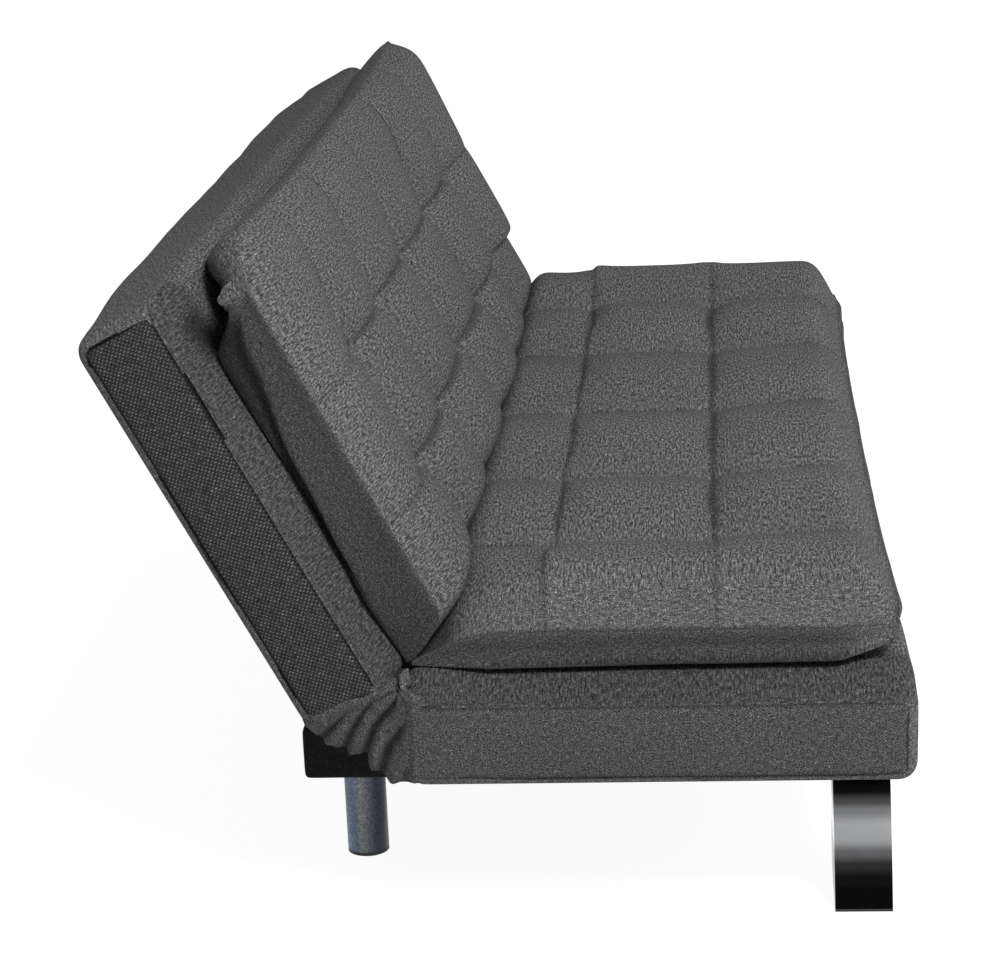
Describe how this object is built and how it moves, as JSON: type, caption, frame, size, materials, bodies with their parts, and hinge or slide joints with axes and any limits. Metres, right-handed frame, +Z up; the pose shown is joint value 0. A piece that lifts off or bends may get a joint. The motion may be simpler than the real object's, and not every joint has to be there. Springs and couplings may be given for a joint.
{
  "type": "sofa bed",
  "caption": "Click-clack sofa bed in grey fabric: a seat box and a folding back box with tufted pillow tops, ratchet hinges, a black rear beam and metal legs.",
  "frame": {"origin": "on the floor, at the middle of the sofa's length and of its depth with the back in its sitting position", "axes": "+X along the sofa to the end away from the picture's near end, -Y out of the front of the seat, +Z up"},
  "size_m": [1.68, 0.8288, 0.725],
  "materials": {
    "upholstery": "charcoal grey heathered weave, matt",
    "black_cloth": "black woven lining cloth, matt",
    "webbing": "black elastic webbing",
    "foam": "cream polyether foam",
    "wadding": "white polyester wadding",
    "timber": "sawn pine, unfinished",
    "hinge_steel": "stamped steel, dark paint",
    "zinc_fixings": "bright zinc plate",
    "smoked_chrome": "smoked chrome, polished",
    "leg_paint": "dark blue-grey metallic paint, semi-gloss",
    "black_rubber": "black rubber, matt",
    "black_plastic": "black moulded plastic"
  },
  "bodies": {
    "seat": {"seat_front_rail": "timber", "seat_rear_rail": "timber", "seat_left_end_rail": "timber", "seat_right_end_rail": "timber", "seat_cross_rails": "timber", "seat_corner_blocks": "timber", "seat_webbing": "webbing", "seat_foam": "foam", "seat_edge_foam": "foam", "seat_hinge_wadding": "wadding", "seat_box_cover": "upholstery", "seat_dust_cover": "black_cloth", "seat_cushion": "upholstery", "beam_top_board": "timber", "beam_bottom_board": "timber", "beam_side_boards": "timber", "beam_end_blocks": "timber", "beam_wrap": "black_cloth", "beam_bolts": "zinc_fixings", "front_leg_left": "smoked_chrome", "front_leg_right": "smoked_chrome", "front_leg_pads": "black_rubber", "front_leg_studs": "zinc_fixings", "front_leg_glides": "black_plastic", "rear_leg_left": "leg_paint", "rear_leg_right": "leg_paint", "rear_leg_inserts": "black_plastic", "rear_leg_studs": "zinc_fixings", "rear_leg_glides": "black_plastic", "seat_hinge_arm_left": "hinge_steel", "seat_hinge_arm_right": "hinge_steel", "seat_hinge_bolts": "zinc_fixings", "pivot_pin_left": "zinc_fixings", "pivot_pin_right": "zinc_fixings", "pawl_pins": "zinc_fixings", "hinge_gusset_left": "upholstery", "hinge_gusset_right": "upholstery"},
    "back": {"back_bottom_rail": "timber", "back_top_rail": "timber", "back_left_end_rail": "timber", "back_right_end_rail": "timber", "back_cross_rails": "timber", "back_corner_blocks": "timber", "back_webbing": "webbing", "back_foam": "foam", "back_edge_foam": "foam", "back_hinge_wadding": "wadding", "back_box_cover": "upholstery", "back_rear_panel": "upholstery", "back_cushion": "upholstery", "back_hinge_arm_left": "hinge_steel", "back_hinge_arm_right": "hinge_steel", "back_hinge_bolts": "zinc_fixings"},
    "left_pawl": {"pawl_left": "hinge_steel"},
    "right_pawl": {"pawl_right": "hinge_steel"}
  },
  "joints": [
    {"name": "back_recline", "type": "hinge", "parent": "seat", "child": "back", "pos_m": [0, 0.11364, 0.266], "axis": [-1, 0, 0], "range_deg": [-5, 62.5], "deforming": ["hinge_gusset_left", "hinge_gusset_right"]},
    {"name": "left_pawl_swing", "type": "hinge", "parent": "seat", "child": "left_pawl", "pos_m": [-0.798, 0.05962, 0.23824], "axis": [1, 0, 0], "range_deg": [0, 7]},
    {"name": "right_pawl_swing", "type": "hinge", "parent": "seat", "child": "right_pawl", "pos_m": [0.798, 0.05962, 0.23824], "axis": [1, 0, 0], "range_deg": [0, 7]}
  ]
}
